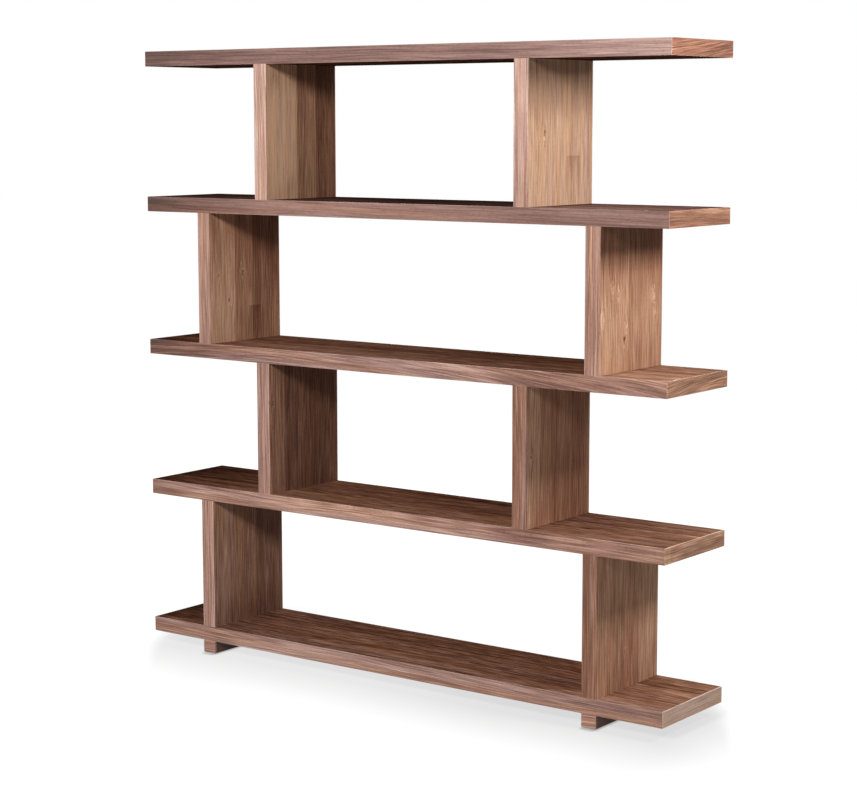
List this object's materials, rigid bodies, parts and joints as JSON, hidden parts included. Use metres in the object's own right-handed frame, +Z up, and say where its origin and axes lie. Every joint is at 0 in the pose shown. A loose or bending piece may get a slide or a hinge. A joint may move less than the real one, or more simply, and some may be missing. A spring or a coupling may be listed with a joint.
{
  "type": "bookcase",
  "caption": "Open bookcase of thick flat shelves on paired slab uprights that step in and out from one storey to the next, standing on two low feet.",
  "frame": {"origin": "centre of the footprint, on the floor", "axes": "+X along the front to the right, +Y from the front to the back, +Z up"},
  "size_m": [1.8, 0.315, 1.8],
  "materials": {
    "shelf_veneer": "walnut veneer with the grain along the shelf, satin lacquer",
    "shelf_long_edge": "solid walnut banding, satin lacquer",
    "shelf_end_edge": "solid walnut banding, satin lacquer",
    "upright_veneer": "walnut veneer with the grain upright, satin lacquer",
    "upright_edge": "solid walnut banding, satin lacquer",
    "foot_walnut": "solid walnut, satin lacquer",
    "core_timber": "bare softwood",
    "birch_plywood": "bare birch plywood",
    "zinc_plated_steel": "bright zinc plate",
    "insert_steel": "yellow zinc plate",
    "cover_plastic": "moulded, fine matt texture",
    "felt": "pressed wool felt"
  },
  "bodies": {
    "root": {"shelf_1_top_skin": "shelf_veneer", "shelf_1_bottom_skin": "shelf_veneer", "shelf_1_long_bands": "shelf_long_edge", "shelf_1_end_bands": "shelf_end_edge", "shelf_1_frame": "core_timber", "shelf_2_top_skin": "shelf_veneer", "shelf_2_bottom_skin": "shelf_veneer", "shelf_2_long_bands": "shelf_long_edge", "shelf_2_end_bands": "shelf_end_edge", "shelf_2_frame": "core_timber", "shelf_3_top_skin": "shelf_veneer", "shelf_3_bottom_skin": "shelf_veneer", "shelf_3_long_bands": "shelf_long_edge", "shelf_3_end_bands": "shelf_end_edge", "shelf_3_frame": "core_timber", "shelf_4_top_skin": "shelf_veneer", "shelf_4_bottom_skin": "shelf_veneer", "shelf_4_long_bands": "shelf_long_edge", "shelf_4_end_bands": "shelf_end_edge", "shelf_4_frame": "core_timber", "shelf_5_top_skin": "shelf_veneer", "shelf_5_bottom_skin": "shelf_veneer", "shelf_5_long_bands": "shelf_long_edge", "shelf_5_end_bands": "shelf_end_edge", "shelf_5_frame": "core_timber", "upright_1_left_skins": "upright_veneer", "upright_1_left_bands": "upright_edge", "upright_1_left_frame": "core_timber", "upright_1_right_skins": "upright_veneer", "upright_1_right_bands": "upright_edge", "upright_1_right_frame": "core_timber", "upright_2_left_skins": "upright_veneer", "upright_2_left_bands": "upright_edge", "upright_2_left_frame": "core_timber", "upright_2_right_skins": "upright_veneer", "upright_2_right_bands": "upright_edge", "upright_2_right_frame": "core_timber", "upright_3_left_skins": "upright_veneer", "upright_3_left_bands": "upright_edge", "upright_3_left_frame": "core_timber", "upright_3_right_skins": "upright_veneer", "upright_3_right_bands": "upright_edge", "upright_3_right_frame": "core_timber", "upright_4_left_skins": "upright_veneer", "upright_4_left_bands": "upright_edge", "upright_4_left_frame": "core_timber", "upright_4_right_skins": "upright_veneer", "upright_4_right_bands": "upright_edge", "upright_4_right_frame": "core_timber", "foot_left": "foot_walnut", "foot_right": "foot_walnut", "tongues": "birch_plywood", "tie_rods": "zinc_plated_steel", "rod_washers": "zinc_plated_steel", "rod_nuts": "zinc_plated_steel", "rod_inserts": "insert_steel", "nut_covers": "cover_plastic", "felt_pads": "felt"}
  },
  "joints": []
}
